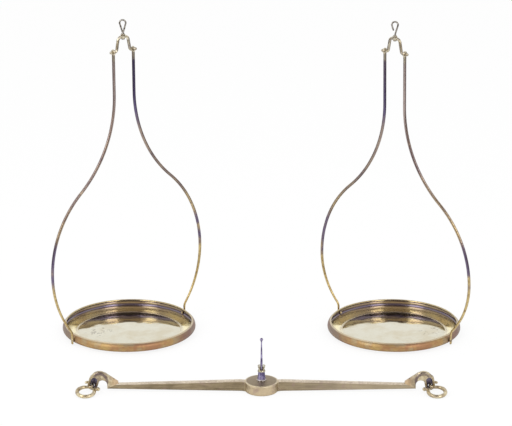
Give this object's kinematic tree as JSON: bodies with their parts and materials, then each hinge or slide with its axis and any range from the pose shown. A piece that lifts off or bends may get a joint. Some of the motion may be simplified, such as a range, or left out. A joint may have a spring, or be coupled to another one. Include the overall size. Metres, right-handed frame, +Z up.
{
  "type": "weighing scale",
  "caption": "Brass equal-arm beam balance taken off its pillar: level beam with pointer, swan-neck ends and hooks, and shallow pans on upright wire hangers.",
  "frame": {"origin": "centre of the bounding box's base, on the surface that the pans and the beam stand on", "axes": "+X along the beam to the right, +Y from the beam to the pans (away from the viewer), +Z up"},
  "size_m": [0.592, 0.3575, 0.4649],
  "materials": {
    "beam_brass": "dull cast brass",
    "blued_steel": "dark blued steel",
    "fitting_brass": "yellow brass, filed and worn",
    "rivet_brass": "dark brass rivets",
    "pan_brass": "polished spun brass with old stains",
    "wire_brass": "darkened brass wire, brighter towards the foot",
    "eye_steel": "dull grey steel wire"
  },
  "bodies": {
    "beam": {"beam": "beam_brass", "fulcrum_knife": "blued_steel", "needle_foot": "blued_steel", "needle_collar": "fitting_brass", "needle": "blued_steel", "needle_pin": "fitting_brass", "left_swan_neck": "fitting_brass", "right_swan_neck": "fitting_brass", "left_neck_rivet": "rivet_brass", "right_neck_rivet": "rivet_brass", "left_end_plate": "blued_steel", "right_end_plate": "blued_steel"},
    "left_hook": {"left_hook": "fitting_brass"},
    "left_pan": {"left_pan": "pan_brass", "left_front_rivet": "rivet_brass", "left_back_rivet": "rivet_brass"},
    "left_hanger": {"left_front_wire": "wire_brass", "left_back_wire": "wire_brass"},
    "left_yoke": {"left_yoke": "fitting_brass"},
    "left_top_eye": {"left_top_eye": "eye_steel", "left_eye_button": "eye_steel"},
    "right_hook": {"right_hook": "fitting_brass"},
    "right_pan": {"right_pan": "pan_brass", "right_front_rivet": "rivet_brass", "right_back_rivet": "rivet_brass"},
    "right_hanger": {"right_front_wire": "wire_brass", "right_back_wire": "wire_brass"},
    "right_yoke": {"right_yoke": "fitting_brass"},
    "right_top_eye": {"right_top_eye": "eye_steel", "right_eye_button": "eye_steel"}
  },
  "joints": [
    {"name": "left_hook_turn", "type": "hinge", "parent": "beam", "child": "left_hook", "pos_m": [-0.23674, -0.14774, 0.0086], "axis": [0, 0.2137, -0.9769], "range_deg": [-15, 80]},
    {"name": "right_hook_turn", "type": "hinge", "parent": "beam", "child": "right_hook", "pos_m": [0.23619, -0.14774, 0.00846], "axis": [0, -0.2091, 0.9779], "range_deg": [-15, 80]},
    {"name": "left_pan_lift", "type": "slide", "parent": "beam", "child": "left_pan", "axis": [0, 0, 1], "range_m": [0, 0.15]},
    {"name": "right_pan_lift", "type": "slide", "parent": "beam", "child": "right_pan", "axis": [0, 0, 1], "range_m": [0, 0.15]},
    {"name": "left_hanger_tilt", "type": "hinge", "parent": "left_pan", "child": "left_hanger", "pos_m": [-0.1925, 0.08226, 0.008], "axis": [0.7986, 0.6018, 0], "range_deg": [-85, 35]},
    {"name": "right_hanger_tilt", "type": "hinge", "parent": "right_pan", "child": "right_hanger", "pos_m": [0.1925, 0.08226, 0.008], "axis": [0.7986, -0.6018, 0], "range_deg": [-85, 35]},
    {"name": "left_yoke_tilt", "type": "hinge", "parent": "left_hanger", "child": "left_yoke", "pos_m": [-0.19423, 0.08455, 0.41929], "axis": [0.7986, 0.6018, 0], "range_deg": [-80, 80]},
    {"name": "right_yoke_tilt", "type": "hinge", "parent": "right_hanger", "child": "right_yoke", "pos_m": [0.18688, 0.0748, 0.41919], "axis": [0.7986, -0.6018, 0], "range_deg": [-80, 80]},
    {"name": "left_top_eye_turn", "type": "hinge", "parent": "left_yoke", "child": "left_top_eye", "pos_m": [-0.19431, 0.08467, 0.43969], "axis": [-0.0042, 0.0056, 1], "continuous": true},
    {"name": "right_top_eye_turn", "type": "hinge", "parent": "right_yoke", "child": "right_top_eye", "pos_m": [0.18661, 0.07444, 0.43959], "axis": [-0.0137, -0.0181, 0.9997], "continuous": true}
  ]
}
